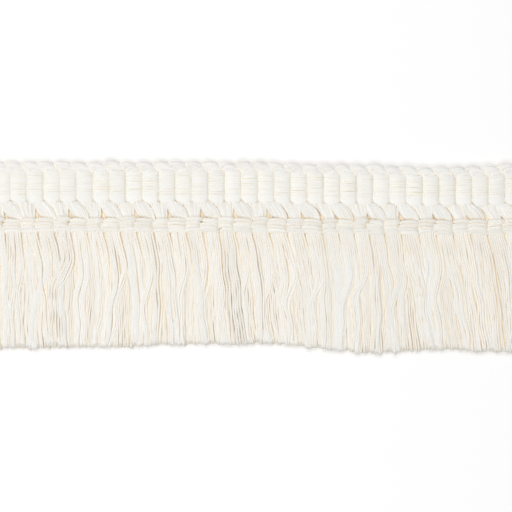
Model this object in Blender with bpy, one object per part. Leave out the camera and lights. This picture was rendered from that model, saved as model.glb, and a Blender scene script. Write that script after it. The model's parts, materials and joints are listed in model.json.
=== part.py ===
"""A cut length of cotton brush fringe, lying flat on a surface, face up.

The ribbed heading runs along X with its flat back at z = 0. Its weft yarns turn in small loops along
the top edge and leave it at the bottom in two kinds of bundle, a crossed one under every other
groove and a straight one between. A tie yarn binds the bundles in a row of wrapped knots, and below
it the yarns hang loose towards -Y as the cut skirt. The origin is the middle of the heading's back.
"""

import random

import bmesh
import bpy

MM = 0.001

# Driving dimensions, in metres
RIB_PITCH = 5.0 * MM
RIB_COUNT = 32
RIB_HEIGHT = 10.0 * MM
LOOP_RISE = 2.7 * MM
OPENWORK_HEIGHT = 4.9 * MM
TIE_HEIGHT = 4.4 * MM
SKIRT_LENGTH = 33.2 * MM
GAP = 0.3 * MM

# Thicknesses, in metres
RIB_CROWN = 2.6 * MM
RIB_GROOVE_DEPTH = 1.0 * MM
LOOP_CROWN = 2.3 * MM
LOOP_NOTCH_DEPTH = 1.2 * MM
STRIP_THICKNESS = 2.4 * MM
TIE_CROWN = 1.1 * MM
TIE_PINCH = 0.5 * MM
WRAP_COUNT = 3
WRAP_RIDGE = 0.3 * MM

# Where each part starts and ends along Y
LENGTH = RIB_PITCH * RIB_COUNT
RIB_TOP = RIB_HEIGHT / 2
RIB_BOTTOM = -RIB_HEIGHT / 2
LOOP_TOP = RIB_TOP + LOOP_RISE
TIE_TOP = RIB_BOTTOM - OPENWORK_HEIGHT
TIE_BOTTOM = TIE_TOP - TIE_HEIGHT
SKIRT_END = TIE_BOTTOM - SKIRT_LENGTH

# How far the band sags out of line along its length: the upper edge by "drop", the tied row by a share
SAG = [
    {"x": -80 * MM, "drop": 0.0 * MM},
    {"x": 0 * MM, "drop": 0.0 * MM},
    {"x": 14 * MM, "drop": 0.6 * MM},
    {"x": 40 * MM, "drop": 1.2 * MM},
    {"x": 54 * MM, "drop": 1.7 * MM},
    {"x": 68 * MM, "drop": 1.4 * MM},
    {"x": 80 * MM, "drop": 0.9 * MM},
]
TIED_SAG_SHARE = 0.4

# How far the slit between two knots lies from the groove above it
SLITS = [
    {"x": -80 * MM, "shift": -1.5 * MM},
    {"x": 0 * MM, "shift": -1.5 * MM},
    {"x": 22 * MM, "shift": -0.3 * MM},
    {"x": 42 * MM, "shift": -1.5 * MM},
    {"x": 55 * MM, "shift": -0.8 * MM},
    {"x": 78 * MM, "shift": 0.0 * MM},
]

# The skirt's cut edge: how far it hangs below its mean line
HEM = [
    {"x": -80 * MM, "drop": 0.3 * MM},
    {"x": -50 * MM, "drop": 0.2 * MM},
    {"x": -24 * MM, "drop": -0.8 * MM},
    {"x": 0 * MM, "drop": -1.0 * MM},
    {"x": 12 * MM, "drop": 0.0 * MM},
    {"x": 34 * MM, "drop": 1.4 * MM},
    {"x": 50 * MM, "drop": 0.2 * MM},
    {"x": 66 * MM, "drop": 0.9 * MM},
    {"x": 80 * MM, "drop": 0.5 * MM},
]

# The way the strands lean: how far middle and tip stand to the right of the root
FRONT_LEAN = [
    {"x": -80 * MM, "middle": 0.8 * MM, "tip": 1.0 * MM},
    {"x": -66 * MM, "middle": 1.2 * MM, "tip": 1.9 * MM},
    {"x": -54 * MM, "middle": 0.6 * MM, "tip": 0.4 * MM},
    {"x": -42 * MM, "middle": 1.4 * MM, "tip": 2.0 * MM},
    {"x": -28 * MM, "middle": 0.7 * MM, "tip": 0.5 * MM},
    {"x": -14 * MM, "middle": 1.3 * MM, "tip": 1.6 * MM},
    {"x": 2 * MM, "middle": 0.4 * MM, "tip": -0.3 * MM},
    {"x": 18 * MM, "middle": 1.2 * MM, "tip": 1.4 * MM},
    {"x": 30 * MM, "middle": 1.3 * MM, "tip": 2.2 * MM},
    {"x": 44 * MM, "middle": 0.3 * MM, "tip": 0.2 * MM},
    {"x": 58 * MM, "middle": 1.2 * MM, "tip": 1.0 * MM},
    {"x": 70 * MM, "middle": 1.0 * MM, "tip": 0.6 * MM},
    {"x": 80 * MM, "middle": 0.2 * MM, "tip": 0.0 * MM},
]
BACK_LEAN = [
    {"x": -80 * MM, "middle": 0.6 * MM, "tip": 0.4 * MM},
    {"x": -60 * MM, "middle": 0.2 * MM, "tip": -0.8 * MM},
    {"x": -36 * MM, "middle": 1.0 * MM, "tip": 1.2 * MM},
    {"x": -8 * MM, "middle": 0.2 * MM, "tip": -0.6 * MM},
    {"x": 24 * MM, "middle": 0.9 * MM, "tip": 1.4 * MM},
    {"x": 52 * MM, "middle": 0.2 * MM, "tip": -0.6 * MM},
    {"x": 80 * MM, "middle": 0.4 * MM, "tip": 0.3 * MM},
]

# The strands of one knot, in two layers. Heights are of the flat underside above the surface, inside
# the strip, at the middle of the strand and at its tip.
LAYERS = [
    {
        "name": "back_strands",
        "strands": 4,
        "segments": 3,
        "width": 1.1 * MM,
        "height": 0.95 * MM,
        "z_root": 0.3 * MM,
        "z_middle": 0.0 * MM,
        "z_tip": 0.0 * MM,
        "lean": BACK_LEAN,
        "closing": 0.0,
        "side_gap": 0.1 * MM,
        "shorter": 0.4 * MM,
    },
    {
        "name": "front_strands",
        "strands": 4,
        "segments": 5,
        "width": 0.98 * MM,
        "height": 1.0 * MM,
        "z_root": 1.3 * MM,
        "z_middle": 1.7 * MM,
        "z_tip": 1.15 * MM,
        "lean": FRONT_LEAN,
        "closing": 0.14,
        "side_gap": 0.25 * MM,
        "shorter": 0.0 * MM,
    },
]
ROOT_SINK = 1.2 * MM
FLOOR_REACHED_AT = 0.2
STRAND_GAP = 0.1 * MM
HEM_UNEVEN = 0.5 * MM

# Stations across one rib, as shares of the pitch from its middle, and up the heading
RIB_STATIONS = (-0.5, -0.36, -0.18, 0.0, 0.18, 0.36)
RIB_ROWS = [
    {"up": 0.0, "thickness": 0.4},
    {"up": 0.05, "thickness": 0.9},
    {"up": 0.35, "thickness": 1.0},
    {"up": 0.7, "thickness": 1.0},
    {"up": 0.95, "thickness": 0.93},
    {"up": 1.0, "thickness": 0.74},
]
LOOP_ROWS = [
    {"up": 0.4, "thickness": 1.0},
    {"up": 0.8, "thickness": 0.85},
    {"up": 1.0, "thickness": 0.4},
]
KNOT_STATIONS = (0.0, 0.14, 0.38, 0.62, 0.86)

# A bundle's cross-section: x as a share of its half width, z as a share of its thickness
BUNDLE_OUTLINE = [(-0.8, 0.0), (0.8, 0.0), (1.0, 0.45), (0.45, 1.0), (-0.45, 1.0), (-1.0, 0.45)]

# The bundles from the heading down to the tied row. "down" is 0 at the heading's foot and 1 at the tied
# row, and "across" 0 where the bundle leaves the heading and 1 over its knot.
STRAIGHT_BUNDLE = [
    {"down": -0.2, "across": 0.0, "half_width": 2.7 * MM, "low": 0.25 * MM, "high": 1.3 * MM},
    {"down": 0.1, "across": 0.2, "half_width": 2.6 * MM, "low": 0.2 * MM, "high": 1.9 * MM},
    {"down": 0.55, "across": 0.7, "half_width": 2.1 * MM, "low": 0.2 * MM, "high": 2.0 * MM},
    {"down": 1.0, "across": 1.0, "half_width": 1.9 * MM, "low": 0.2 * MM, "high": 1.9 * MM},
]
CROSSED_BUNDLE = [
    {"down": -0.2, "across": 0.0, "half_width": 0.9 * MM, "low": 0.4 * MM, "high": 1.3 * MM},
    {"down": 0.05, "across": 0.1, "half_width": 1.3 * MM, "low": 0.4 * MM, "high": 2.3 * MM},
    {"down": 0.5, "across": 0.45, "half_width": 1.9 * MM, "low": 0.4 * MM, "high": 2.5 * MM},
    {"down": 1.0, "across": 1.0, "half_width": 2.0 * MM, "low": 0.3 * MM, "high": 1.9 * MM},
]
STRAIGHT_ROOT_SHIFT = -0.2 * MM
CROSSED_ROOT_SHIFT = 0.3 * MM
CROSSED_FOOT_SHIFT = 0.3 * MM
NARROWEST_BUNDLE = 0.5 * MM

COTTON_COLOUR = (0.87, 0.82, 0.71, 1.0)
COTTON_ROUGHNESS = 0.9


def eased(table, column, x):
    """A column of a table at x, eased between its rows."""
    if x <= table[0]["x"]:
        return table[0][column]
    for low, high in zip(table, table[1:]):
        if x <= high["x"]:
            t = (x - low["x"]) / (high["x"] - low["x"])
            t = t * t * (3 - 2 * t)
            return low[column] + (high[column] - low[column]) * t
    return table[-1][column]


def sag(x, y):
    """How far a point is moved along Y because the band doesn't lie quite straight."""
    up = min(1.0, max(0.0, (y - TIE_TOP) / (LOOP_TOP - TIE_TOP)))
    share = TIED_SAG_SHARE + (1 - TIED_SAG_SHARE) * up
    return -share * eased(SAG, "drop", x)


def groove_x(index):
    """The groove at the left of rib number index."""
    return -LENGTH / 2 + index * RIB_PITCH


def slit_x(index):
    """The slit at the left of knot number index, kept inside the cut length."""
    x = groove_x(index) + eased(SLITS, "shift", groove_x(index))
    if index == 0:
        return -LENGTH / 2
    return LENGTH / 2 if index == RIB_COUNT else x


def object_from(name, mesh, material):
    mesh.materials.append(material)
    made = bpy.data.objects.new(name, mesh)
    bpy.context.scene.collection.objects.link(made)
    return made


def slab(name, columns, base, material):
    """A closed slab with relief. Columns run along +X, each a list of (x, y, z) along +Y, on a flat base."""
    shape = bmesh.new()
    tops = [[shape.verts.new(point) for point in column] for column in columns]
    feet = [shape.verts.new((column[0][0], column[0][1], base)) for column in columns]
    heads = [shape.verts.new((column[-1][0], column[-1][1], base)) for column in columns]
    for i in range(len(columns) - 1):
        for j in range(len(columns[0]) - 1):
            shape.faces.new((tops[i][j], tops[i + 1][j], tops[i + 1][j + 1], tops[i][j + 1]))
        shape.faces.new((feet[i], heads[i], heads[i + 1], feet[i + 1]))
        shape.faces.new((feet[i], feet[i + 1], tops[i + 1][0], tops[i][0]))
        shape.faces.new((heads[i + 1], heads[i], tops[i][-1], tops[i + 1][-1]))
    shape.faces.new([feet[0], *tops[0], heads[0]])
    shape.faces.new([heads[-1], *reversed(tops[-1]), feet[-1]])
    bmesh.ops.recalc_face_normals(shape, faces=shape.faces)
    mesh = bpy.data.meshes.new(name)
    shape.to_mesh(mesh)
    shape.free()
    return object_from(name, mesh, material)


def lofted(name, bodies, material):
    """Closed bodies in one mesh. A body is a list of rings, and a ring a list of points."""
    shape = bmesh.new()
    for rings in bodies:
        loops = [[shape.verts.new(point) for point in ring] for ring in rings]
        for one, other in zip(loops, loops[1:]):
            for j in range(len(one)):
                k = (j + 1) % len(one)
                shape.faces.new((one[j], one[k], other[k], other[j]))
        shape.faces.new(list(reversed(loops[0])))
        shape.faces.new(loops[-1])
    bmesh.ops.recalc_face_normals(shape, faces=shape.faces)
    mesh = bpy.data.meshes.new(name)
    shape.to_mesh(mesh)
    shape.free()
    return object_from(name, mesh, material)


def join_into(target, other):
    """Adds the other object to the target by a Boolean union, and hides it."""
    union = target.modifiers.new("Join " + other.name, "BOOLEAN")
    union.operation = "UNION"
    union.object = other
    other.hide_render = True
    other.display_type = "WIRE"


def rib_thickness(station):
    """Thickness of the band at a share of the pitch from a rib's middle."""
    return RIB_CROWN - RIB_GROOVE_DEPTH * abs(2 * station) ** 3


def heading_column(x, station):
    """The points of the heading's front at one x, from its foot to the tip of the loops."""
    points = []
    for row in RIB_ROWS:
        y = RIB_BOTTOM + row["up"] * RIB_HEIGHT
        points.append((x, y + sag(x, y), row["thickness"] * rib_thickness(station)))
    to_notch = (1 - abs(2 * station)) ** 2
    rise = LOOP_RISE - LOOP_NOTCH_DEPTH * to_notch
    for row in LOOP_ROWS:
        y = RIB_TOP + row["up"] * rise
        thickness = LOOP_CROWN * (1 - 0.2 * to_notch)
        points.append((x, y + sag(x, y), row["thickness"] * thickness))
    return points


def bundle(rows, root_x, foot_x):
    """The rings of one bundle, from inside the heading's foot down to the tied row."""
    reach = RIB_BOTTOM - TIE_TOP - GAP
    rings = []
    for row in rows:
        middle = root_x + (foot_x - root_x) * row["across"]
        left = max(-LENGTH / 2 + GAP, middle - row["half_width"])
        right = min(LENGTH / 2 - GAP, middle + row["half_width"])
        right = max(right, left + NARROWEST_BUNDLE)
        y = RIB_BOTTOM - row["down"] * reach
        ring = []
        for across, up in BUNDLE_OUTLINE:
            x = (left + right) / 2 + across * (right - left) / 2
            z = row["low"] + up * (row["high"] - row["low"])
            ring.append((x, y + sag(x, y), z))
        rings.append(ring)
    return rings


def make_heading(material):
    columns = []
    for index in range(RIB_COUNT):
        middle = groove_x(index) + RIB_PITCH / 2
        for station in RIB_STATIONS:
            columns.append(heading_column(middle + station * RIB_PITCH, station))
    columns.append(heading_column(LENGTH / 2, 0.5))
    heading = slab("woven_heading", columns, 0.0, material)

    straight, crossed = [], []
    for index in range(RIB_COUNT):
        knot = (slit_x(index) + slit_x(index + 1)) / 2
        groove = groove_x(index)
        if index % 2:
            root, foot = groove + CROSSED_ROOT_SHIFT, knot + CROSSED_FOOT_SHIFT
            crossed.append(bundle(CROSSED_BUNDLE, root, foot))
        else:
            straight.append(bundle(STRAIGHT_BUNDLE, groove + STRAIGHT_ROOT_SHIFT, knot))
    join_into(heading, lofted("straight_bundles", straight, material))
    join_into(heading, lofted("crossed_bundles", crossed, material))


def make_tied_row(material):
    """The tie yarn's wraps as one ridged bar, on the front of the strip that holds the yarns' roots."""
    base = STRIP_THICKNESS + GAP
    rows = 2 * WRAP_COUNT + 1
    columns = []
    for index in range(RIB_COUNT):
        left, right = slit_x(index), slit_x(index + 1)
        for station in KNOT_STATIONS:
            columns.append((left + station * (right - left), station))
    columns.append((LENGTH / 2, 1.0))
    grid = []
    for x, station in columns:
        crown = TIE_PINCH + (TIE_CROWN - TIE_PINCH) * (1 - abs(2 * station - 1) ** 3)
        column = []
        for row in range(rows):
            y = TIE_BOTTOM + TIE_HEIGHT * row / (rows - 1)
            ridge = 0.0 if row % 2 else -WRAP_RIDGE
            column.append((x, y + sag(x, y), base + crown + ridge))
        grid.append(column)
    slab("tied_row", grid, base, material)


def strand_path(layer, root_x, lock_x):
    """The x of one strand's rings, from its root inside the strip to its cut tip."""
    middle_lean = eased(layer["lean"], "middle", root_x)
    tip_lean = eased(layer["lean"], "tip", root_x)
    path = [root_x]
    for step in range(layer["segments"] + 1):
        s = step / layer["segments"]
        x = root_x + middle_lean * 4 * s * (1 - s) + tip_lean * s * s
        path.append(x + (lock_x - root_x) * layer["closing"] * s)
    return path


def strand(layer, path, half_widths, end_y):
    """The rings of one three-sided strand with its flat side down."""
    start_y = TIE_BOTTOM + GAP
    rings = []
    for number, (x, half) in enumerate(zip(path, half_widths)):
        s = max(0, number - 1) / layer["segments"]
        y = start_y + (end_y - start_y) * s if number else start_y + ROOT_SINK
        fall = min(1.0, s / FLOOR_REACHED_AT)
        z = layer["z_root"] + (layer["z_middle"] - layer["z_root"]) * fall
        z += (layer["z_tip"] - layer["z_middle"]) * s * s * s
        y += sag(x, y)
        rings.append([(x - half, y, z), (x + half, y, z), (x, y, z + layer["height"])])
    return rings


def fitted_half_widths(layer, paths, index):
    """Half the width of one strand at each ring, less where a neighbour comes close."""
    halves = []
    for ring, x in enumerate(paths[index]):
        room = layer["width"]
        for other in paths[max(0, index - 1):index] + paths[index + 1:index + 2]:
            room = min(room, abs(other[ring] - x) - STRAND_GAP)
        halves.append(room / 2)
    return halves


def make_skirt(material):
    """The strip in the tied row in which the yarns' roots are held, and the loose strands below it."""
    bottom, top = TIE_BOTTOM + GAP, TIE_TOP - GAP
    columns = []
    for index in range(RIB_COUNT + 1):
        x = slit_x(index)
        columns.append([(x, y + sag(x, y), STRIP_THICKNESS) for y in (bottom, top)])
    skirt = slab("yarn_skirt", columns, 0.0, material)

    uneven = random.Random(7)
    for layer in LAYERS:
        paths = []
        for index in range(RIB_COUNT):
            left = slit_x(index) + layer["side_gap"]
            right = slit_x(index + 1) - layer["side_gap"]
            spacing = (right - left) / layer["strands"]
            for number in range(layer["strands"]):
                paths.append(strand_path(layer, left + (number + 0.5) * spacing, (left + right) / 2))
        bodies = []
        for index, path in enumerate(paths):
            end_y = SKIRT_END - eased(HEM, "drop", path[0]) + layer["shorter"]
            end_y += uneven.uniform(0.0, HEM_UNEVEN)
            bodies.append(strand(layer, path, fitted_half_widths(layer, paths, index), end_y))
        join_into(skirt, lofted(layer["name"], bodies, material))


def cotton():
    material = bpy.data.materials.new("ivory cotton")
    material.use_nodes = True
    surface = material.node_tree.nodes["Principled BSDF"]
    surface.inputs["Base Color"].default_value = COTTON_COLOUR
    surface.inputs["Roughness"].default_value = COTTON_ROUGHNESS
    surface.inputs["Metallic"].default_value = 0.0
    material.diffuse_color = COTTON_COLOUR
    return material


def main():
    for old in list(bpy.data.objects):
        bpy.data.objects.remove(old)
    material = cotton()
    make_heading(material)
    make_tied_row(material)
    make_skirt(material)


main()
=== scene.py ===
"""The looks of a cut length of cotton brush fringe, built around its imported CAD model.

The warp-faced ribs of the heading are one cloth mesh with every warp thread raised. All the rest is
yarn: the loops along the top edge, the straight and crossed bundles of the openwork row, the wraps of
the tie yarn and the cut skirt. Sizes here are millimetres, and each mesh is scaled to metres. The
lights and the camera are placed in metres.
"""

import json
import math

import bpy
import numpy as np
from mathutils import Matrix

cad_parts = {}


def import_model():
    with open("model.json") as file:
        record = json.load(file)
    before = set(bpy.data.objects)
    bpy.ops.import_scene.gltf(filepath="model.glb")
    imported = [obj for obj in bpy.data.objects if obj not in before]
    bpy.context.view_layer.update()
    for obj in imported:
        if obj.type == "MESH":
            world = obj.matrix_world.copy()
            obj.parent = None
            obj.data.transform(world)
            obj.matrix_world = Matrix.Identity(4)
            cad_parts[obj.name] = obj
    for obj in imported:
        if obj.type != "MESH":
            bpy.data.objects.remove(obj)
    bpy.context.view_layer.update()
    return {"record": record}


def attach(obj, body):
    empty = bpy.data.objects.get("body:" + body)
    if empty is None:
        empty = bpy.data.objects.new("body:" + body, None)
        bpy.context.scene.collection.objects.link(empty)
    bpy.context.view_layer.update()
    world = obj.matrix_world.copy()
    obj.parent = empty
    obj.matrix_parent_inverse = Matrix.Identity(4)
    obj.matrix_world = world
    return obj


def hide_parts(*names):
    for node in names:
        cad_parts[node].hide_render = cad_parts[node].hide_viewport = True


MM = 0.001

# Layout of the trim, shared with the CAD model. Grooves part the ribs, and slits part the knots.
PITCH = 5.0
RIBS = 32
LENGTH = PITCH * RIBS
RIB_TOP = 5.0
RIB_BOTTOM = -5.0
LOOP_TOP = 7.7
TIE_TOP = -9.9
TIE_BOTTOM = -14.3
SKIRT_END = -47.5

# How far the edge with the loops sags, and which share of that the knots and the skirt take
TIED_SAG_SHARE = 0.4
SAG = [
    {"x": -80, "drop": 0.0},
    {"x": 0, "drop": 0.0},
    {"x": 14, "drop": 0.6},
    {"x": 40, "drop": 1.2},
    {"x": 54, "drop": 1.7},
    {"x": 68, "drop": 1.4},
    {"x": 80, "drop": 0.9},
]

# How far each slit lies to the right of the groove above it
SLITS = [
    {"x": -80, "shift": -1.5},
    {"x": 0, "shift": -1.5},
    {"x": 22, "shift": -0.3},
    {"x": 42, "shift": -1.5},
    {"x": 55, "shift": -0.8},
    {"x": 78, "shift": 0.0},
]

# How far the hem lies below the end of the skirt
HEM = [
    {"x": -80, "drop": 0.3},
    {"x": -50, "drop": 0.2},
    {"x": -24, "drop": -0.8},
    {"x": 0, "drop": -1.0},
    {"x": 12, "drop": 0.0},
    {"x": 34, "drop": 1.4},
    {"x": 50, "drop": 0.2},
    {"x": 66, "drop": 0.9},
    {"x": 80, "drop": 0.5},
]

# The woven band: mesh columns to a rib and rows up it
BAND_COLUMNS = 20
BAND_ROWS = 120

# Its warp threads, which fade out towards the ribs' feet and heads and are flatter in the grooves.
# How far one stands out differs from thread to thread, from rib to rib and across a rib.
WARP_PERIOD = 0.8
WARP_RISE = 0.34
WARP_IN_GROOVE = 0.3
WARP_WANDER = 0.04
THREAD_STRENGTH = (0.6, 0.95)
RIB_STRENGTH = (0.7, 1.1)
SIDE_STRENGTH = (-0.7, 0.7)
# Painted shade in the seams between warp threads: how strong, how wide, and how fast it grows as a thread
# stands out
WARP_SEAM_SHADE = 0.55
WARP_SEAM = 0.2
WARP_SHADE_GAIN = 1.7
FOOT_FADE = {"y": -3.4, "length": 1.5, "left": 0.15}
HEAD_FADE = {"y": 4.6, "length": 0.8}

# The shape and tone of its ribs, whose heads and feet turn down towards the back
RIB_CROWN = 2.5
RIB_FLATNESS = 2.1
RIB_FULLNESS = 0.65
RIB_LOBES = 3
LOBE_HEIGHT = (-0.05, 0.05)
RIB_SCATTER = (-0.1, 0.1)
RIB_TONE = (0.4, 0.8)
GROOVE_DEPTH = 0.85
GROOVE_NOTCH = 0.2
GROOVE_WIDTH = 0.28
FOOT_OVERLAP = 0.5
CORNER_START = 0.2
CORNER_RISE = 1.3
HEAD_DROP = 0.1
HEAD_TURN = 0.15
FOOT_TURN = 0.42
TURN_HEIGHT = 1.1
BACK_Z = 0.25

# The loops along the top edge, whose yarns lie in four layers from the front down. A few stand taller.
LOOP_YARNS = (8, 7, 3, 3)
LOOP_RINGS = 18
LOOP_RADIUS = 0.41
LOOP_Z = 1.75
LOOP_Z_STEP = 0.45
LOOP_ARCH = 0.55
# Painted shade added to each loop layer further down
LOOP_SHADE_STEP = 0.12
LOOP_SIDES = 6
LOOP_SHIFT = {"mean": -0.1, "scatter": 0.12}
LOOP_JITTER = 0.06
LOOP_RISE = (-0.35, 0.3)
TALL_LOOPS = (7, 23, 31)
TALL_RISE = 0.8

# The bundles of the openwork row, which leave the band at their top and end inside the knots
BUNDLE_TOP = -4.4
REACH = TIE_TOP - 2.6
BUNDLE_RINGS = 14
BUNDLE_SIDES = 6
BUNDLE_RADIUS = 0.37
BUNDLE_JITTER = (0.06, 0.06, 0.14)
BUNDLE_YARNS = {"low": 10, "straight": 9, "behind": 7, "over": 9}
# Painted shade on the bundles' yarns, and the stronger painted shade on the low yarns seen through the holes
BUNDLE_SHADE = 0.0
LOW_SHADE = 0.48

# The tie yarn: its wraps over each knot, the heights of their ends and middles, how far their middles
# bow up the trim and their left ends curl down it, how their places and ends differ by chance, and
# the strands that make up one wrap
WRAPS = 4
WRAP_STEP = 1.02
WRAP_RINGS = 21
WRAP_SIDES = 7
WRAP_BASE = 2.15
WRAP_CROWN = (3.05, 3.25)
WRAP_BOW = (0.15, 0.4)
WRAP_FLATNESS = 3.5
LAST_WRAP_DROP = 0.35
WRAP_CURL = (0.1, 0.5)
WRAP_START = (-0.3, 0.15)
WRAP_END = (-0.15, 0.3)
WRAP_OVERHANG = 0.1
KNOT_SCATTER = 0.08
WRAP_SCATTER = 0.05
STRAND_SCATTER = 0.04
STRAND_SHARE = (0.94, 1.04)
END_TAPER = 0.3
WRAP_STRANDS = [
    {"across": 0.2, "height": 0.0, "radius": 0.29},
    {"across": -0.2, "height": 0.0, "radius": 0.29},
    {"across": -0.5, "height": -0.28, "radius": 0.34},
]
FIRST_WRAP_FILLER = {"across": 0.3, "height": -0.5, "radius": 0.36}

# The knots under the straight bundles and those under the crossed ones, by turns: where they start,
# how far their wraps tilt and how far their left and right sides bend, below zero to the left
KNOT_KINDS = [
    {"top": TIE_TOP - 0.05, "tilt": (-0.2, 0.15), "bend": (-0.35, -1.0)},
    {"top": TIE_TOP - 0.3, "tilt": (-0.7, -0.35), "bend": (-1.0, -0.35)},
]

# How thick single yarns are, as a share of their piece's radius, and the waves that add up to a crimp
YARN_SHARE = (0.93, 1.07)
CRIMP_PARTS = 3
CRIMP_RATE = (0.4, 1.0)

# How much warm painted shade a yarn's flanks get, where it lies against the next, and how far up its sides
# that reaches
FLANK_SHADE = 0.1
FLANK_REACH = 0.75

# The layers of the skirt, from the one on the floor up. The yarns are counted to a knot, and the
# phase sets them over by a share of their spacing. The heights are those at the knots, in the skirt
# and at the hem. Yarns of a gathered layer follow the locks.
# Each layer carries its own painted shade, more the lower it lies
SKIRT_LAYERS = [
    {
        "name": "skirt_floor_layer", "gathered": False, "yarn_shade": 0.32,
        "yarns": 9, "phase": 0.5, "rings": 20, "sides": 5, "radius": 0.38,
        "z_root": 1.2, "z": 0.95, "z_tip": 0.4,
    },
    {
        "name": "skirt_lower_layer", "gathered": False, "yarn_shade": 0.24,
        "yarns": 9, "phase": 0.0, "rings": 26, "sides": 5, "radius": 0.38,
        "z_root": 2.0, "z": 1.62, "z_tip": 0.7,
    },
    {
        "name": "skirt_upper_layer", "gathered": True, "yarn_shade": 0.06,
        "yarns": 8, "phase": 0.0, "rings": 32, "sides": 6, "radius": 0.38,
        "z_root": 2.3, "z": 1.72, "z_tip": 0.75,
    },
    {
        "name": "skirt_top_layer", "gathered": True, "yarn_shade": 0.02,
        "yarns": 7, "phase": 0.5, "rings": 36, "sides": 6, "radius": 0.385,
        "z_root": 2.62, "z": 2.05, "z_tip": 0.95,
    },
]

# The lean to the right, in degrees, in each third of the skirt from the top down: its mean, how much
# more it is at the right side and less at the left, and its swing from knot to knot. Locks lean the
# amount in "more" further and scatter round that. The lean fades out towards the cut ends, and on
# the right it would reach zero only past the end.
LEAN = [
    {"mean": 14, "side": 0, "swing": 2, "wave": 9.0, "phase": 0, "more": 0.0, "scatter": 2.0},
    {"mean": 0, "side": 5, "swing": 5, "wave": 7.0, "phase": 1, "more": 2.0, "scatter": 4.0},
    {"mean": 3, "side": 5, "swing": 5, "wave": 11.0, "phase": 2, "more": 0.0, "scatter": 6.0},
]
LEAN_FADE = 14
LEAN_PAST_END = 6
SIDE_REACH = 50

# How wide a gathered layer's yarns spread at a knot and below it, as shares of its width, and how soon
KNOT_WIDTH_SHARE = 0.85
LOCK_WIDTH_SHARE = 0.94
SPREAD_LENGTH = 0.09

# Where the yarns start above the knots' lower edge, how far they pass the skirt's end and how much
# they differ there
ROOT_RISE = 2.3
HEM_OVERLAP = 0.6
HEM_SCATTER = 0.26

# How far single yarns stray sideways at their roots and ends, and upwards, how much lower they start
# at a knot's sides, and how many of their radii they stay above the floor
ROOT_STRAY = 0.05
END_STRAY = 0.1
LIFT_STRAY = 0.04
KNOT_ROUNDING = 0.35
LOWEST_IN_RADII = 1.2

# The groups of two or three yarns that cling: how often a new one starts, how close its yarns draw
# together and how much one lies above another
NEW_GROUP_SHARE = 0.4
CLING = 0.12
GROUP_LIFT = 0.13

# The locks of the skirt: how many part or turn back, how far and where they turn, how they wave, how
# high they lie, how many spread out and how many draw together lower down, and how their edges and
# ends differ. Places along them run from 0 at the knots to 1 at the hem.
PARTED_SHARE = 0.65
PARTED_AT = (0.3, 0.7)
TURNING_SHARE = 0.5
TURN = (1.5, 4.5)
TURN_PLACE = (0.35, 0.62)
TURN_LENGTH = 0.36
LOCK_WAVE = {"size": 0.2, "waves": 2.3}
LOCK_LIFTS = (-0.1, 0.04, 0.16)
LOCK_END_SCATTER = 0.32
OPENING_SHARE = 0.3
OPENING = (-0.5, 0.0)
CLOSING = (0.05, 0.35)
FALL_LENGTH = 0.22
EDGE_DROP = 0.5
# Painted shade at the edges of the locks
EDGE_SHADE = 0.15
DROOP_START = 0.88
FLARE_START = 0.96
FLARE = 0.1
TONE_SHARES = {"lock": 0.45, "group": 0.35, "yarn": 0.2}
PLAIN_TONE = 0.3

# The fibres at the yarns' cut ends
FUZZ_PER_TIP = 2
FUZZ_RINGS = 4
FUZZ_RADIUS = 0.016
FUZZ_SPREAD = 0.16
FUZZ_LENGTH = (0.25, 0.8)
FUZZ_DIRECTION = (0.0, -1.0, -0.15)
FUZZ_SCATTER = 0.45
FUZZ_BEND = 0.35
FUZZ_LOWEST = 0.05

# The cotton's colours in the open and the warm painted shade put where it is hidden from the light, how its
# tone differs from yarn to yarn, and its relief of plies and fibres
BAND_COLOUR = (0.885, 0.869, 0.826)
LOOP_COLOUR = (0.87, 0.86, 0.83)
YARN_COLOUR = (0.865, 0.853, 0.818)
TIE_COLOUR = (0.87, 0.85, 0.8)
# Painted shade colours, mixed in where ambient occlusion finds crevices, as for warm light bounced between
# yarns
BAND_SHADE_COLOUR = (0.87, 0.75, 0.54)
YARN_SHADE_COLOUR = (1.0, 0.85, 0.6)
TONE_RANGE = (0.93, 1.02)
SHADE_DISTANCE = 1.0 * MM
SHADE_RANGE = (0.12, 0.68)
PAINTED_SHADE_WEIGHT = 0.9
RELIEF_HEIGHT = 0.1 * MM
PLIES = 2
PLY_SCALE = 0.5

# The surroundings, the lights and the camera, with sizes and places in metres and energies in watts
SURROUNDINGS_STRENGTH = 0.46
SOFTBOX_SIZE = (0.6, 0.4)
SOFTBOXES = [
    {"name": "left softbox", "place": (-0.4, 0.0, 0.93), "energy": 2.95},
    {"name": "upper softbox", "place": (-0.15, 0.6, 0.75), "energy": 2.4},
    {"name": "lower softbox", "place": (-0.1, -0.6, 0.75), "energy": 2.3},
]
CAMERA_PLACE = (-0.6 * MM, -20.87 * MM, 0.3685)

rng = np.random.default_rng(11)


def smooth(share):
    """A share held between 0 and 1 and eased at both ends."""
    share = np.clip(share, 0, 1)
    return share * share * (3 - 2 * share)


def eased(table, column, x):
    """A column of a table at x, eased between its rows."""
    places = np.array([row["x"] for row in table], float)
    values = np.array([row[column] for row in table], float)
    i = np.clip(np.searchsorted(places, x) - 1, 0, len(places) - 2)
    share = smooth((x - places[i]) / (places[i + 1] - places[i]))
    return values[i] + (values[i + 1] - values[i]) * share


def sag(x, y):
    """How far a point of the trim moves with the sag, which is least in the skirt."""
    up = np.clip((y - TIE_TOP) / (LOOP_TOP - TIE_TOP), 0, 1)
    return -(TIED_SAG_SHARE + (1 - TIED_SAG_SHARE) * up) * eased(SAG, "drop", x)


def groove_x(index):
    """Where the groove to the left of a rib is."""
    return -LENGTH / 2 + index * PITCH


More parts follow.
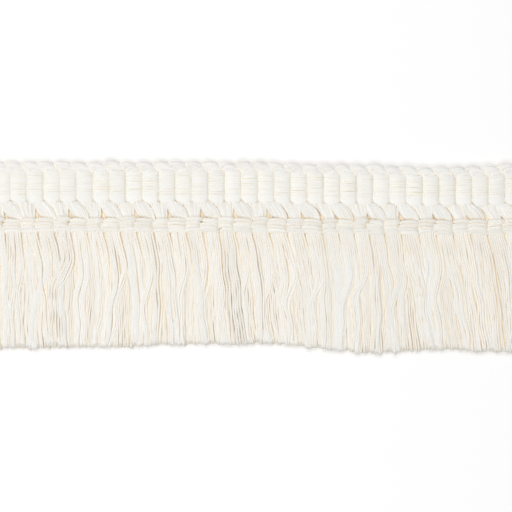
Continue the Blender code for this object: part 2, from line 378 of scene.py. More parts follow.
def slit_x(index):
    """Where the slit to the left of a knot is."""
    if index == 0:
        return -LENGTH / 2
    if index == RIBS:
        return LENGTH / 2
    return groove_x(index) + float(eased(SLITS, "shift", groove_x(index)))


def knot_x(index):
    """Where the middle of a knot is."""
    return (slit_x(index) + slit_x(index + 1)) / 2


def mesh_object(name, vertices, polygons, uv, attributes, material):
    """An object from arrays: polygons lists index arrays, each of faces with the same number of corners."""
    mesh = bpy.data.meshes.new(name)
    corners = np.concatenate([p.ravel() for p in polygons])
    sizes = np.concatenate([np.full(len(p), p.shape[1]) for p in polygons])
    starts = np.concatenate([[0], np.cumsum(sizes)[:-1]])
    mesh.vertices.add(len(vertices))
    mesh.vertices.foreach_set("co", (vertices * MM).astype(np.float32).ravel())
    mesh.loops.add(len(corners))
    mesh.loops.foreach_set("vertex_index", corners.astype(np.int32))
    mesh.polygons.add(len(sizes))
    mesh.polygons.foreach_set("loop_start", starts.astype(np.int32))
    mesh.polygons.foreach_set("use_smooth", np.ones(len(sizes), bool))
    mesh.update(calc_edges=True)
    layer = mesh.uv_layers.new(name="along")
    layer.data.foreach_set("uv", uv.astype(np.float32).ravel())
    for key, values in attributes.items():
        mesh.attributes.new(key, "FLOAT", "POINT").data.foreach_set("value", values.astype(np.float32))
    mesh.materials.append(material)
    mesh.validate()
    made = bpy.data.objects.new(name, mesh)
    bpy.context.scene.collection.objects.link(made)
    return made


def tubes(name, paths, radii, sides, tones, material, yarn_shade=0.0):
    """Closed tubes along paths (count, rings, 3), joined in one mesh. Its UV runs round and along each."""
    count, rings = paths.shape[:2]
    tangent = np.gradient(paths, axis=1)
    tangent /= np.linalg.norm(tangent, axis=2, keepdims=True)
    across = np.cross(tangent, (0.0, 0.0, 1.0))
    across /= np.linalg.norm(across, axis=2, keepdims=True)
    outward = np.cross(across, tangent)
    angle = np.arange(sides) / sides * 2 * np.pi
    ring = across[:, :, None] * np.cos(angle)[:, None] + outward[:, :, None] * np.sin(angle)[:, None]
    vertices = paths[:, :, None] + ring * radii[:, :, None, None]

    index = np.arange(count * rings * sides).reshape(count, rings, sides)
    around = np.roll(index, -1, axis=2)
    quads = np.stack([index[:, :-1], index[:, 1:], around[:, 1:], around[:, :-1]], -1)
    caps = np.concatenate([index[:, 0], index[:, -1, ::-1]])

    step = np.linalg.norm(np.diff(paths, axis=1), axis=2)
    length = np.concatenate([np.zeros((count, 1)), np.cumsum(step, axis=1)], axis=1)
    low = np.broadcast_to(length[:, :-1, None], quads.shape[:3])
    high = np.broadcast_to(length[:, 1:, None], quads.shape[:3])
    left = np.broadcast_to(np.arange(sides) / sides, quads.shape[:3])
    right = left + 1 / sides
    quad_uv = np.stack([left, low, left, high, right, high, right, low], -1).reshape(-1, 2)
    cap_v = np.concatenate([length[:, 0], length[:, -1]])
    cap_uv = np.stack([np.full(caps.shape, 0.5), np.broadcast_to(cap_v[:, None], caps.shape)], -1)
    uv = np.concatenate([quad_uv, cap_uv.reshape(-1, 2)])

    tone = np.repeat(tones, rings * sides)
    # Painted shade on each yarn's flanks, where it lies against the next, plus a painted shade given per
    # yarn
    flank_shade = np.tile(FLANK_SHADE * np.clip(1 - np.abs(np.sin(angle)) / FLANK_REACH, 0, 1), count * rings)
    flank_shade += np.repeat(np.broadcast_to(yarn_shade, count), rings * sides)
    attributes = {"tone": tone, "painted_shade": flank_shade}
    polygons = [quads.reshape(-1, 4), caps]
    return mesh_object(name, vertices.reshape(-1, 3), polygons, uv, attributes, material)


def bezier(points, rings):
    """Paths (count, rings, 3) along cubic curves, from their four control points (count, 3) each."""
    t = np.linspace(0, 1, rings)[None, :, None]
    a, b, c, d = [p[:, None] for p in points]
    return a * (1 - t) ** 3 + 3 * b * t * (1 - t) ** 2 + 3 * c * t * t * (1 - t) + d * t ** 3


def points(x, y, z):
    """Control points at x, y and z, each a number or an array over the yarns."""
    return np.stack(np.broadcast_arrays(np.asarray(x, float), y, z), -1).astype(float)


def settled(paths):
    """Paths moved with the band where it sags."""
    paths[:, :, 1] += sag(paths[:, :, 0], paths[:, :, 1])
    return paths


def kept_inside(paths, margin, slant):
    """Paths kept inside the cut ends of the length, with a slant so that no clipped one stands upright."""
    paths[:, :, 0] = np.clip(paths[:, :, 0], -LENGTH / 2 + margin, LENGTH / 2 - margin)
    paths[:, :, 0] += np.linspace(0, slant, paths.shape[1])
    return paths


def crimp(count, rings, size, waves):
    """Small smooth sideways waves for yarns, (count, rings)."""
    s = np.linspace(0, 1, rings)[None, :]
    total = np.zeros((count, rings))
    for _ in range(CRIMP_PARTS):
        rate = rng.uniform(*CRIMP_RATE, (count, 1)) * waves
        total += np.sin(2 * np.pi * (rate * s + rng.uniform(0, 1, (count, 1))))
    return total * size / CRIMP_PARTS


def make_band(material):
    """The warp-faced cloth over the ribs, closed, with every warp thread raised on its front."""
    count = RIBS * BAND_COLUMNS + 1
    x = np.linspace(-LENGTH / 2, LENGTH / 2, count)
    rib = np.minimum((x + LENGTH / 2) // PITCH, RIBS - 1).astype(int)
    u = (x + LENGTH / 2) / PITCH - rib - 0.5
    profile = np.clip(1 - np.abs(2 * u) ** RIB_FLATNESS, 0, 1) ** RIB_FULLNESS

    # The foot of a rib to the right of a crossed groove rises towards that groove.
    corner = np.where(rib % 2 == 1, np.clip(-2 * u - CORNER_START, 0, 1), 0.0)
    foot = RIB_BOTTOM - FOOT_OVERLAP + CORNER_RISE * corner ** 1.5
    head = np.full(count, RIB_TOP - HEAD_DROP)
    v = np.linspace(0, 1, BAND_ROWS)
    y = foot[:, None] + (head - foot)[:, None] * v

    threads = np.arange(int((RIB_TOP - RIB_BOTTOM) / WARP_PERIOD) + 4)
    strength = rng.uniform(*THREAD_STRENGTH, (RIBS, len(threads))) * rng.uniform(*RIB_STRENGTH, (RIBS, 1))
    side = rng.uniform(*SIDE_STRENGTH, (RIBS, len(threads)))
    wander = rng.normal(0, WARP_WANDER, (RIBS, len(threads)))
    place = (y - RIB_BOTTOM) / WARP_PERIOD + 1.0
    thread = np.clip(np.round(place).astype(int), 0, len(threads) - 1)
    off = place - thread + wander[rib[:, None], thread]
    round_thread = np.sqrt(np.clip(1 - (2 * off) ** 2, 0, 1))
    raised = strength[rib[:, None], thread] * (1 + side[rib[:, None], thread] * 2 * u[:, None])
    above_foot = np.clip((y - FOOT_FADE["y"]) / FOOT_FADE["length"], 0, 1)
    raised *= FOOT_FADE["left"] + (1 - FOOT_FADE["left"]) * above_foot
    raised *= np.clip((HEAD_FADE["y"] - y) / HEAD_FADE["length"], 0, 1)
    on_rib = WARP_IN_GROOVE + (1 - WARP_IN_GROOVE) * profile[:, None]
    relief = WARP_RISE * round_thread * raised * on_rib
    # Painted shade in the seam between two warp threads, stronger where they stand out more
    seam = np.clip(1 - (0.5 - np.abs(off)) / WARP_SEAM, 0, 1)
    painted_shade = WARP_SEAM_SHADE * seam * np.clip(WARP_SHADE_GAIN * raised, 0, 1)

    lobes = rng.uniform(*LOBE_HEIGHT, (RIBS, RIB_LOBES))
    lobe = (u + 0.5) * RIB_LOBES
    nearest = np.clip(lobe.astype(int), 0, RIB_LOBES - 1)
    soft = lobes[rib, nearest] * np.sin(np.pi * (lobe % 1))
    height = RIB_CROWN - GROOVE_DEPTH * (1 - profile) + soft
    height += rng.uniform(*RIB_SCATTER, RIBS)[rib]
    height -= GROOVE_NOTCH * np.exp(-((0.5 - np.abs(u)) * PITCH / GROOVE_WIDTH) ** 2)
    edge = np.minimum(y - foot[:, None], head[:, None] - y)
    turn = np.where(y > 0, HEAD_TURN, FOOT_TURN)
    rounding = 1 - turn * np.clip(1 - edge / TURN_HEIGHT, 0, 1) ** 2
    z = height[:, None] * rounding + relief

    front = np.stack([np.broadcast_to(x[:, None], y.shape), y + sag(x[:, None], y), z], -1)
    back_foot = front[:, 0].copy()
    back_head = front[:, -1].copy()
    back_foot[:, 2] = back_head[:, 2] = BACK_Z
    vertices = np.concatenate([front.reshape(-1, 3), back_foot, back_head])

    index = np.arange(count * BAND_ROWS).reshape(count, BAND_ROWS)
    foot_index = count * BAND_ROWS + np.arange(count)
    head_index = foot_index + count
    grid = np.stack([index[:-1, :-1], index[1:, :-1], index[1:, 1:], index[:-1, 1:]], -1).reshape(-1, 4)
    below = np.stack([foot_index[:-1], foot_index[1:], index[1:, 0], index[:-1, 0]], -1)
    above = np.stack([head_index[1:], head_index[:-1], index[:-1, -1], index[1:, -1]], -1)
    under = np.stack([foot_index[:-1], head_index[:-1], head_index[1:], foot_index[1:]], -1)
    ends = np.stack([
        np.concatenate([[foot_index[0]], index[0], [head_index[0]]]),
        np.concatenate([[head_index[-1]], index[-1, ::-1], [foot_index[-1]]]),
    ])
    quads = np.concatenate([grid, below, above, under])
    corners = np.concatenate([quads.ravel(), ends.ravel()])
    uv = vertices[corners][:, :2]
    tone = rng.uniform(*RIB_TONE, RIBS)[rib]
    tones = np.concatenate([np.repeat(tone, BAND_ROWS), np.full(2 * count, 0.5)])
    band_shade = np.concatenate([painted_shade.ravel(), np.zeros(2 * count)])
    attributes = {"tone": tones, "painted_shade": band_shade}
    return mesh_object("heading_band", vertices, [quads, ends], uv, attributes, material)


def make_loops(material):
    """The weft's loops: each rises to the left from a groove, bows right and dives under the next.

    The share a is 0 at a loop's outermost yarn and 1 at its innermost.
    """
    paths, yarn_shade = [], []
    for index in range(RIBS + 1):
        groove = groove_x(index) + rng.normal(LOOP_SHIFT["mean"], LOOP_SHIFT["scatter"])
        tall = TALL_RISE if index in TALL_LOOPS else rng.uniform(*LOOP_RISE)
        for layer, yarns in enumerate(LOOP_YARNS):
            a = (np.arange(yarns) + 0.5 * (layer % 2)) / (LOOP_YARNS[0] - 1)
            z = LOOP_Z - LOOP_Z_STEP * layer + LOOP_ARCH * np.sin(np.pi * np.clip(a, 0, 1) ** 0.7)
            controls = [
                points(groove + 0.3 + 2.0 * a, 4.2 + 0.2 * layer, 0.8 + 0.9 * a - 0.3 * layer),
                points(groove - 6.2 + 7.4 * a, 8.0 - 3.1 * a + 0.5 * tall * (1 - a), z),
                points(groove + 3.3 + 0.8 * a, 8.7 - 3.8 * a + tall * (1 - 0.8 * a), z - 0.1),
                points(groove + 3.5 + 1.0 * a, 5.4 - 1.1 * a, np.maximum(z - 0.9, 0.4)),
            ]
            spun = [p + rng.normal(0, LOOP_JITTER, p.shape) for p in controls]
            paths.append(bezier(spun, LOOP_RINGS))
            # Lower loop layers are painted with more shade
            yarn_shade.append(np.full(yarns, LOOP_SHADE_STEP * layer))
    paths = kept_inside(np.concatenate(paths), margin=0.3, slant=0.01)
    paths[:, :, 2] = np.maximum(paths[:, :, 2], LOOP_RADIUS + 0.01)
    radii = np.full(paths.shape[:2], LOOP_RADIUS)
    tones = rng.uniform(0, 1, len(paths))
    yarn_shade = np.concatenate(yarn_shade)
    return tubes("edge_loops", settled(paths), radii, LOOP_SIDES, tones, material, yarn_shade)


def crossed_bundle(groove, knot):
    """The halves that cross: one low from the right rib, and over it a leaf fanned from the left rib.

    The share a is 0 at the half's left yarn and 1 at its right one.
    """
    a = np.linspace(0, 1, BUNDLE_YARNS["behind"])
    behind = [
        points(groove + 0.3 + 2.1 * a, BUNDLE_TOP, 1.9),
        points(groove + 0.8 + 1.9 * a, -6.6, 1.6),
        points(knot - 1.4 + 2.7 * a, -7.9, 0.9),
        points(knot - 2.2 + 2.8 * a, REACH, 1.1),
    ]
    a = np.linspace(0, 1, BUNDLE_YARNS["over"])
    bulge = 0.35 * np.sin(np.pi * a)
    over = [
        points(groove - 2.4 + 2.3 * a, BUNDLE_TOP, 1.95),
        points(groove - 2.4 + 4.1 * a, -6.5 + 0.9 * a, 2.4 + bulge),
        points(groove - 1.3 + 5.1 * a, -8.2 + 1.1 * a, 2.6 + bulge),
        points(groove + 0.5 + 3.1 * a, -9.7 - 0.8 * a, 1.5 + 0.7 * a),
    ]
    inner = [p + np.array([0.1, 0.0, -0.5]) for p in over]
    return [behind, inner, over]


def straight_bundle(groove, knot):
    """The fan that runs straight down from two neighbouring half ribs.

    The share a is -1 at the fan's left yarn and 1 at its right one.
    """
    a = np.linspace(-1, 1, BUNDLE_YARNS["straight"])
    front = [
        points(groove + 2.4 * a, BUNDLE_TOP, 1.95 - 0.1 * a * a),
        points(groove + 2.3 * a, -6.3, 2.4 - 0.3 * a * a),
        points(knot - 0.2 + 1.5 * a, -8.0, 2.45 - 0.5 * a * a),
        points(knot - 0.25 + 1.45 * a, -10.6, 2.25 - 0.3 * a * a),
    ]
    behind = [p[1:] - np.array([0.3, 0.0, 0.5]) for p in front]
    return [behind, front]


def make_bundles(material):
    """The weft where it leaves the heading: straight fans and crossed pairs by turns, over low yarns."""
    paths, yarn_shade = [], []
    for index in range(RIBS):
        groove, knot = groove_x(index), knot_x(index)
        a = np.linspace(-1, 1, BUNDLE_YARNS["low"])
        low = [
            points(groove + 2.5 * a, BUNDLE_TOP, 1.25),
            points(groove + 2.5 * a, -6.3, 1.25),
            points(knot + 2.5 * a, -8.3, 1.3),
            points(knot + 2.5 * a, REACH, 1.75),
        ]
        kind = crossed_bundle if index % 2 else straight_bundle
        for controls in [low, *kind(groove, knot)]:
            spun = [p + rng.normal(0, BUNDLE_JITTER, p.shape) for p in controls]
            paths.append(bezier(spun, BUNDLE_RINGS))
            # The low yarns behind the bundles are painted with warm shade
            yarn_shade.append(np.full(len(controls[0]), LOW_SHADE if controls is low else BUNDLE_SHADE))
    paths = kept_inside(np.concatenate(paths), margin=0.35, slant=0.01)
    radii = BUNDLE_RADIUS * rng.uniform(*YARN_SHARE, (len(paths), 1))
    radii = radii * (1 + crimp(len(paths), BUNDLE_RINGS, size=0.06, waves=4))
    tones = rng.uniform(0, 1, len(paths))
    yarn_shade = np.concatenate(yarn_shade)
    return tubes("openwork_bundles", settled(paths), radii, BUNDLE_SIDES, tones, material, yarn_shade)


def make_wraps(material):
    """The tie yarn: four wraps over each knot, whose ends dive into the seams between the knots."""
    s = np.linspace(0, 1, WRAP_RINGS)
    arch = 1 - np.abs(2 * s - 1) ** WRAP_FLATNESS
    paths, radii = [], []
    for index in range(RIBS):
        kind = KNOT_KINDS[index % 2]
        left, right = slit_x(index), slit_x(index + 1)
        bend_left, bend_right = kind["bend"]
        tilt = rng.uniform(*kind["tilt"])
        crown = rng.uniform(*WRAP_CROWN)
        bow = rng.uniform(*WRAP_BOW)
        top = kind["top"] + rng.normal(0, KNOT_SCATTER)
        for wrap in range(WRAPS):
            down = (wrap + 0.5) / WRAPS
            bend = math.sin(math.pi * down)
            start = left + bend_left * bend - WRAP_OVERHANG + rng.uniform(*WRAP_START)
            end = right + bend_right * bend + WRAP_OVERHANG + rng.uniform(*WRAP_END)
            y = top - wrap * WRAP_STEP + rng.normal(0, WRAP_SCATTER)
            curl = rng.uniform(*WRAP_CURL) * (1 - s) ** 4
            height = crown - (LAST_WRAP_DROP if wrap == WRAPS - 1 else 0.0) - WRAP_BASE
            path = np.empty((WRAP_RINGS, 3))
            path[:, 0] = start + (end - start) * s
            path[:, 1] = y + tilt * (s - 0.5) + bow * arch - curl
            path[:, 2] = WRAP_BASE + height * arch
            strands = WRAP_STRANDS + [FIRST_WRAP_FILLER] if wrap == 0 else WRAP_STRANDS
            for strand in strands:
                offset = (0.0, strand["across"], strand["height"] + rng.normal(0, STRAND_SCATTER))
                paths.append(path + np.array(offset))
                radii.append(np.full(WRAP_RINGS, strand["radius"]))
    paths, radii = np.array(paths), np.array(radii)
    paths[:, :, 1] += crimp(len(paths), WRAP_RINGS, size=0.08, waves=2)
    paths = kept_inside(paths, margin=0.5, slant=0.02)
    radii = radii * rng.uniform(*STRAND_SHARE, (len(paths), 1))
    radii = radii * (1 + crimp(len(paths), WRAP_RINGS, size=0.05, waves=6))
    radii = radii * (1 - END_TAPER * np.abs(2 * s - 1) ** 8)
    tones = rng.uniform(0, 1, len(paths))
    return tubes("tie_wraps", settled(paths), radii, WRAP_SIDES, tones, material)


def swerve(controls, s):
    """Sideways drift at s along a yarn: a cubic curve from 0, with the drift at its other controls."""
    first, second, last = controls
    return 3 * first * s * (1 - s) ** 2 + 3 * second * s * s * (1 - s) + last * s ** 3


def lean_degrees(x):
    """How far the yarns lean to the right in each third of the skirt, before chance."""
    inside = np.clip((x + LENGTH / 2) / LEAN_FADE, 0, 1)
    inside = inside * np.clip((LENGTH / 2 + LEAN_PAST_END - x) / LEAN_FADE, 0, 1)
    side = np.clip(x / SIDE_REACH, -1, 1)
    leans = []
    for third in LEAN:
        swing = third["swing"] * np.sin(x / third["wave"] + third["phase"])
        leans.append((third["mean"] + third["side"] * side + swing) * inside)
    return leans


def drifts(degrees):
    """The drift at a cubic curve's control points, from the lean in each third of the skirt."""
    third = (TIE_BOTTOM - SKIRT_END) / 3
    return np.cumsum([third * np.tan(np.radians(angle)) for angle in degrees], axis=0)


def skirt_locks():
    """The locks in which the skirt's upper yarns gather: at each knot one, or two that part.

    Some turn back to the left lower down, though not at the left end of the length.
    """
    locks = []
    for index in range(RIBS):
        left, right = slit_x(index), slit_x(index + 1)
        edges = [left, right]
        if rng.uniform() < PARTED_SHARE:
            edges.insert(1, left + (right - left) * rng.uniform(*PARTED_AT))
        for low, high in zip(edges, edges[1:]):
            leans = []
            for lean, third in zip(lean_degrees((low + high) / 2), LEAN):
                leans.append(lean + third["more"] + rng.normal(0, third["scatter"]))
            turns = rng.uniform() < TURNING_SHARE
            inside = min(index / 2, 1)
            first, second, last = drifts(leans)
            locks.append({
                "x": (low + high) / 2,
                "half": (high - low) / 2,
                "first": first,
                "second": second,
                "last": last,
                "turn": (rng.uniform(*TURN) if turns else 0.0) * inside,
                "turn_at": rng.uniform(*TURN_PLACE),
                "lift": rng.choice(LOCK_LIFTS),
                "end": rng.normal(0, LOCK_END_SCATTER),
                "closing": rng.uniform(*OPENING) if rng.uniform() < OPENING_SHARE else rng.uniform(*CLOSING),
                "wave": rng.uniform(0, 1),
                "tone": rng.uniform(0, 1),
            })
    return locks


def skirt_paths(layer, locks):
    """Paths, radii, tones and painted shade of one skirt layer's yarns, which cling in twos and threes."""
    roots = []
    knots = []
    for index in range(RIBS):
        left, right = slit_x(index), slit_x(index + 1)
        spacing = (right - left) / layer["yarns"]
        for number in range(layer["yarns"]):
            roots.append(left + (number + layer["phase"]) * spacing)
            knots.append((left + right) / 2)
    roots, knots = np.array(roots), np.array(knots)
    count = len(roots)
    rings = layer["rings"]

    if layer["gathered"]:
        places = np.array([lock["x"] for lock in locks])
        nearest = np.argmin(np.abs(roots[:, None] - places), axis=1)
        of = {key: np.array([lock[key] for lock in locks])[nearest] for key in locks[0]}
        across = np.clip((roots - of["x"]) / of["half"], -1, 1)
    else:
        first, second, last = drifts(lean_degrees(roots))
        nothing = np.zeros(count)
        of = {"x": roots, "first": first, "second": second, "last": last, "wave": nothing}
        of.update({"lift": nothing, "end": nothing, "closing": nothing, "tone": nothing + PLAIN_TONE})
        of.update({"turn": nothing, "turn_at": nothing})
        across = nothing

    start_y = TIE_BOTTOM + ROOT_RISE
    end_y = SKIRT_END - HEM_OVERLAP - eased(HEM, "drop", roots) + of["end"]
    end_y = end_y + rng.normal(0, HEM_SCATTER, count)
    t = np.linspace(0, 1, rings)[None, :]
    y = start_y + (end_y - start_y)[:, None] * t
    s = np.clip((y - TIE_BOTTOM) / (end_y[:, None] - TIE_BOTTOM), 0, 1)

    narrow, wide = (KNOT_WIDTH_SHARE, LOCK_WIDTH_SHARE) if layer["gathered"] else (1.0, 1.0)
    pinch = narrow + (wide - narrow) * np.clip(s / SPREAD_LENGTH, 0, 1)
    x = knots[:, None] + (roots - knots)[:, None] * pinch
    x += swerve([of[key][:, None] for key in ("first", "second", "last")], s)
    x += ((of["x"] - roots) * of["closing"])[:, None] * s ** 1.5
    x -= of["turn"][:, None] * smooth((s - of["turn_at"][:, None]) / TURN_LENGTH + 0.5)
    wave = np.sin(2 * np.pi * (LOCK_WAVE["waves"] * s + of["wave"][:, None]))
    x += LOCK_WAVE["size"] * wave * np.clip(s * 3, 0, 1)
    x += crimp(count, rings, size=0.1, waves=6) * np.clip(s * 4, 0, 1)
    x += rng.normal(0, END_STRAY, count)[:, None] * s ** 2
    x += rng.normal(0, ROOT_STRAY, count)[:, None] * np.clip(1 - s * 3, 0, 1)

    group = np.cumsum(rng.uniform(0, 1, count) < NEW_GROUP_SHARE)
    members = np.bincount(group)
    centre = np.bincount(group, weights=roots) / np.maximum(members, 1)
    waver = crimp(len(members), rings, size=0.2, waves=4)[group]
    lifted = rng.normal(0, GROUP_LIFT, len(members))[group]
    if layer["gathered"]:
        x += (waver + CLING * (centre[group] - roots)[:, None]) * np.clip(s * 3, 0, 1)

    fall = smooth(s / FALL_LENGTH)
    in_knot = (roots - knots) / (PITCH / 2)
    z = layer["z_root"] - KNOT_ROUNDING * (in_knot ** 2)[:, None] * (1 - fall)
    z = z + (layer["z"] - layer["z_root"]) * fall
    z = z + (of["lift"] - EDGE_DROP * np.abs(across) ** 3)[:, None] * np.clip(s * 2.5, 0, 1)
    z = z + rng.uniform(-LIFT_STRAY, LIFT_STRAY, count)[:, None]
    z = z + (crimp(count, rings, size=0.06, waves=5) + lifted[:, None]) * np.clip(s * 4, 0, 1)
    droop = np.clip((s - DROOP_START) / (1 - DROOP_START), 0, 1) ** 2.2
    z = z + (layer["z_tip"] - z) * droop
    paths = np.stack([x, y, np.maximum(z, LOWEST_IN_RADII * layer["radius"])], -1)
    flare = 1 + FLARE * np.clip((s - FLARE_START) / (1 - FLARE_START), 0, 1)
    slubs = 1 + crimp(count, rings, size=0.12, waves=9)
    radii = layer["radius"] * rng.uniform(*YARN_SHARE, (count, 1)) * flare * slubs
    tones = TONE_SHARES["lock"] * of["tone"]
    tones = tones + TONE_SHARES["group"] * rng.uniform(0, 1, len(members))[group]
    tones = tones + TONE_SHARES["yarn"] * rng.uniform(0, 1, count)
    # Painted shade: lower layers and the edges of the locks are painted warmer
    yarn_shade = layer["yarn_shade"] + EDGE_SHADE * np.abs(across) ** 3
    return settled(paths), radii, tones, yarn_shade


def make_fuzz(name, tips, directions, sizes, material):
    """Short fibres that stand out of the yarns, from arrays of their starts, directions and lengths."""
    count = len(tips)
    side = rng.normal(0, 1, (count, 3))
    t = np.linspace(0, 1, FUZZ_RINGS)[None, :, None]
    paths = tips[:, None] + directions[:, None] * t * sizes[:, None, None]
    paths = paths + side[:, None] * (t ** 2) * sizes[:, None, None] * FUZZ_BEND
    paths[:, :, 2] = np.maximum(paths[:, :, 2], FUZZ_LOWEST)
    radii = np.full((count, FUZZ_RINGS), FUZZ_RADIUS) * np.linspace(1, 0.5, FUZZ_RINGS)
    return tubes(name, paths, radii, 3, rng.uniform(0, 1, count), material)


def cotton(name, colour, shade_colour, twist, bump):
    """Matt ivory cotton: painted warm shade where yarns lie close, each yarn a little different, with its
    fibres raised.

    A twist above 0 also raises plies that wind round the yarn.
    """
    material = bpy.data.materials.new(name)
    material.use_nodes = True
    nodes, links = material.node_tree.nodes, material.node_tree.links
    surface = nodes["Principled BSDF"]
    surface.inputs["Roughness"].default_value = 0.92
    surface.inputs["Specular IOR Level"].default_value = 0.2
    surface.inputs["Sheen Weight"].default_value = 0.35
    surface.inputs["Sheen Roughness"].default_value = 0.6

    tone = nodes.new("ShaderNodeAttribute")
    tone.attribute_name = "tone"
    yarn_value = nodes.new("ShaderNodeMapRange")
    yarn_value.inputs["To Min"].default_value = TONE_RANGE[0]
    yarn_value.inputs["To Max"].default_value = TONE_RANGE[1]
    links.new(tone.outputs["Fac"], yarn_value.inputs["Value"])

    # Painted shade: ambient occlusion, less the mesh's painted shade attribute, sets how far the colour goes
    # to the shade colour
    occlusion = nodes.new("ShaderNodeAmbientOcclusion")
    occlusion.inputs["Distance"].default_value = SHADE_DISTANCE
    occlusion.samples = 8
    shade_ramp = nodes.new("ShaderNodeValToRGB")
    shade_ramp.color_ramp.elements[0].position = SHADE_RANGE[0]
    shade_ramp.color_ramp.elements[0].color = (*shade_colour, 1.0)
    shade_ramp.color_ramp.elements[1].position = SHADE_RANGE[1]
    shade_ramp.color_ramp.elements[1].color = (*colour, 1.0)
    painted_shade = nodes.new("ShaderNodeAttribute")
    painted_shade.attribute_name = "painted_shade"
    shade_amount = nodes.new("ShaderNodeMath")
    shade_amount.operation = "MULTIPLY_ADD"
    shade_amount.inputs[1].default_value = -PAINTED_SHADE_WEIGHT
    links.new(painted_shade.outputs["Fac"], shade_amount.inputs[0])
    links.new(occlusion.outputs["AO"], shade_amount.inputs[2])
    links.new(shade_amount.outputs["Value"], shade_ramp.inputs["Fac"])

    shade = nodes.new("ShaderNodeVectorMath")
    shade.operation = "SCALE"
    links.new(shade_ramp.outputs["Color"], shade.inputs["Vector"])
    links.new(yarn_value.outputs["Result"], shade.inputs["Scale"])
    links.new(shade.outputs["Vector"], surface.inputs["Base Color"])

    coordinates = nodes.new("ShaderNodeUVMap")
    coordinates.uv_map = "along"
    stretch = nodes.new("ShaderNodeMapping")
    links.new(coordinates.outputs["UV"], stretch.inputs["Vector"])
    fibres = nodes.new("ShaderNodeTexNoise")
    fibres.inputs["Detail"].default_value = 4.0
    links.new(stretch.outputs["Vector"], fibres.inputs["Vector"])
    raised = nodes.new("ShaderNodeBump")
    raised.inputs["Strength"].default_value = bump
    raised.inputs["Distance"].default_value = RELIEF_HEIGHT
    if twist:
        stretch.inputs["Scale"].default_value = (9.0, 1.2, 1.0)
        fibres.inputs["Scale"].default_value = 1.6
        plies = nodes.new("ShaderNodeTexWave")
        plies.wave_type = "BANDS"
        plies.bands_direction = "DIAGONAL"
        plies.inputs["Scale"].default_value = PLY_SCALE
        plies.inputs["Distortion"].default_value = 0.6
        slant = nodes.new("ShaderNodeMapping")
        # At a scale of 1 a band takes up 2 pi / 10, so this puts the plies evenly round the yarn.
        once_round = PLIES * 2 * math.pi / 10 / PLY_SCALE
        slant.inputs["Scale"].default_value = (once_round, twist, 1.0)
        links.new(coordinates.outputs["UV"], slant.inputs["Vector"])
        links.new(slant.outputs["Vector"], plies.inputs["Vector"])
        both = nodes.new("ShaderNodeMath")
        both.operation = "ADD"
        links.new(plies.outputs["Fac"], both.inputs[0])
        links.new(fibres.outputs["Fac"], both.inputs[1])
        links.new(both.outputs["Value"], raised.inputs["Height"])
    else:
        stretch.inputs["Scale"].default_value = (1.5, 9.0, 1.0)
        fibres.inputs["Scale"].default_value = 2.2
        links.new(fibres.outputs["Fac"], raised.inputs["Height"])
    links.new(raised.outputs["Normal"], surface.inputs["Normal"])
    return material


def make_floor():
    """The plain sheet of white paper that the trim lies on."""
    mesh = bpy.data.meshes.new("floor")
    mesh.from_pydata([(-2, -2, 0), (2, -2, 0), (2, 2, 0), (-2, 2, 0)], [], [(0, 1, 2, 3)])
    material = bpy.data.materials.new("white paper")
    material.use_nodes = True
    surface = material.node_tree.nodes["Principled BSDF"]
    surface.inputs["Base Color"].default_value = (0.95, 0.95, 0.95, 1.0)
    surface.inputs["Roughness"].default_value = 1.0
    surface.inputs["Specular IOR Level"].default_value = 0.0
    mesh.materials.append(material)
    floor = bpy.data.objects.new("floor", mesh)
    bpy.context.scene.collection.objects.link(floor)


def add_softbox(name, place, energy):
    """An area light at a place, turned to the middle of the trim's heading."""
    data = bpy.data.lights.new(name, "AREA")
    data.shape = "RECTANGLE"
    data.size, data.size_y = SOFTBOX_SIZE
    data.energy = energy
    softbox = bpy.data.objects.new(name, data)
    softbox.location = place
    softbox.rotation_euler = (-softbox.location).to_track_quat("-Z", "Y").to_euler()
    bpy.context.scene.collection.objects.link(softbox)


def make_light():
    """Even white surroundings, a softbox high on the left and one beyond each long edge of the trim."""
    world = bpy.data.worlds.new("studio")
    world.use_nodes = True
    background = world.node_tree.nodes["Background"]
    background.inputs["Color"].default_value = (1.0, 1.0, 1.0, 1.0)
    background.inputs["Strength"].default_value = SURROUNDINGS_STRENGTH
    bpy.context.scene.world = world
    for softbox in SOFTBOXES:
        add_softbox(**softbox)


def make_camera():
    """The camera straight above the trim."""
    data = bpy.data.cameras.new("camera")
    data.lens = 85.0
    data.sensor_width = 36.0
    data.clip_start = 0.01
    data.clip_end = 10.0
    camera = bpy.data.objects.new("camera", data)
    camera.location = CAMERA_PLACE
    bpy.context.scene.collection.objects.link(camera)
    bpy.context.scene.camera = camera


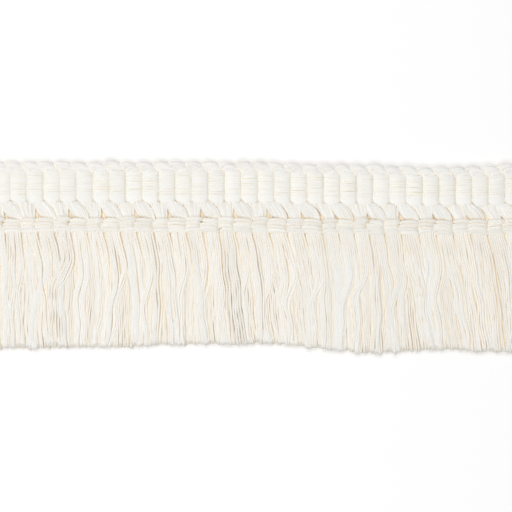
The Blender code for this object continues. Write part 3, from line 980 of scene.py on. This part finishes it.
def main():
    """Loads the frame, makes each piece and seats it in the frame, then sets floor, light and camera."""
    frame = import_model()
    view = bpy.context.scene.view_settings
    view.view_transform = "Standard"
    view.look = "None"

    band_cotton = cotton("heading cotton", BAND_COLOUR, BAND_SHADE_COLOUR, twist=0.0, bump=0.3)
    loop_cotton = cotton("loop cotton", LOOP_COLOUR, YARN_SHADE_COLOUR, twist=1.3, bump=0.25)
    yarn_cotton = cotton("yarn cotton", YARN_COLOUR, YARN_SHADE_COLOUR, twist=1.3, bump=0.25)
    tie_yarn_cotton = cotton("tie cotton", TIE_COLOUR, YARN_SHADE_COLOUR, twist=0.9, bump=0.25)

    band = make_band(band_cotton)
    loops = make_loops(loop_cotton)
    bundles = make_bundles(yarn_cotton)
    wraps = make_wraps(tie_yarn_cotton)
    skirt = []
    fuzz_tips = []
    locks = skirt_locks()
    for layer in SKIRT_LAYERS:
        paths, radii, tones, yarn_shade = skirt_paths(layer, locks)
        skirt.append(tubes(layer["name"], paths, radii, layer["sides"], tones, yarn_cotton, yarn_shade))
        fuzz_tips.append(paths[:, -1])
    tips = np.repeat(np.concatenate(fuzz_tips), FUZZ_PER_TIP, axis=0)
    spots = tips + rng.normal(0, FUZZ_SPREAD, tips.shape)
    directions = np.array(FUZZ_DIRECTION) + rng.normal(0, FUZZ_SCATTER, tips.shape)
    lengths = rng.uniform(*FUZZ_LENGTH, len(tips))
    fuzz = make_fuzz("hem_fuzz", spots, directions, lengths, yarn_cotton)

    slots = {part["node"]: part["material_slot"] for part in frame["record"]["subparts"]}
    for piece, nodes, slot in (
        (band, ["woven_heading"], slots["woven_heading"]),
        (loops, [], slots["woven_heading"]),
        (bundles, [], slots["woven_heading"]),
        (wraps, ["tied_row"], slots["tied_row"]),
        (skirt[0], ["yarn_skirt"], slots["yarn_skirt"]),
        *((piece, [], slots["yarn_skirt"]) for piece in skirt[1:]),
        (fuzz, [], slots["yarn_skirt"]),
    ):
        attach(piece, "root")
        if nodes:
            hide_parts(*nodes)

    make_floor()
    make_light()
    make_camera()


main()
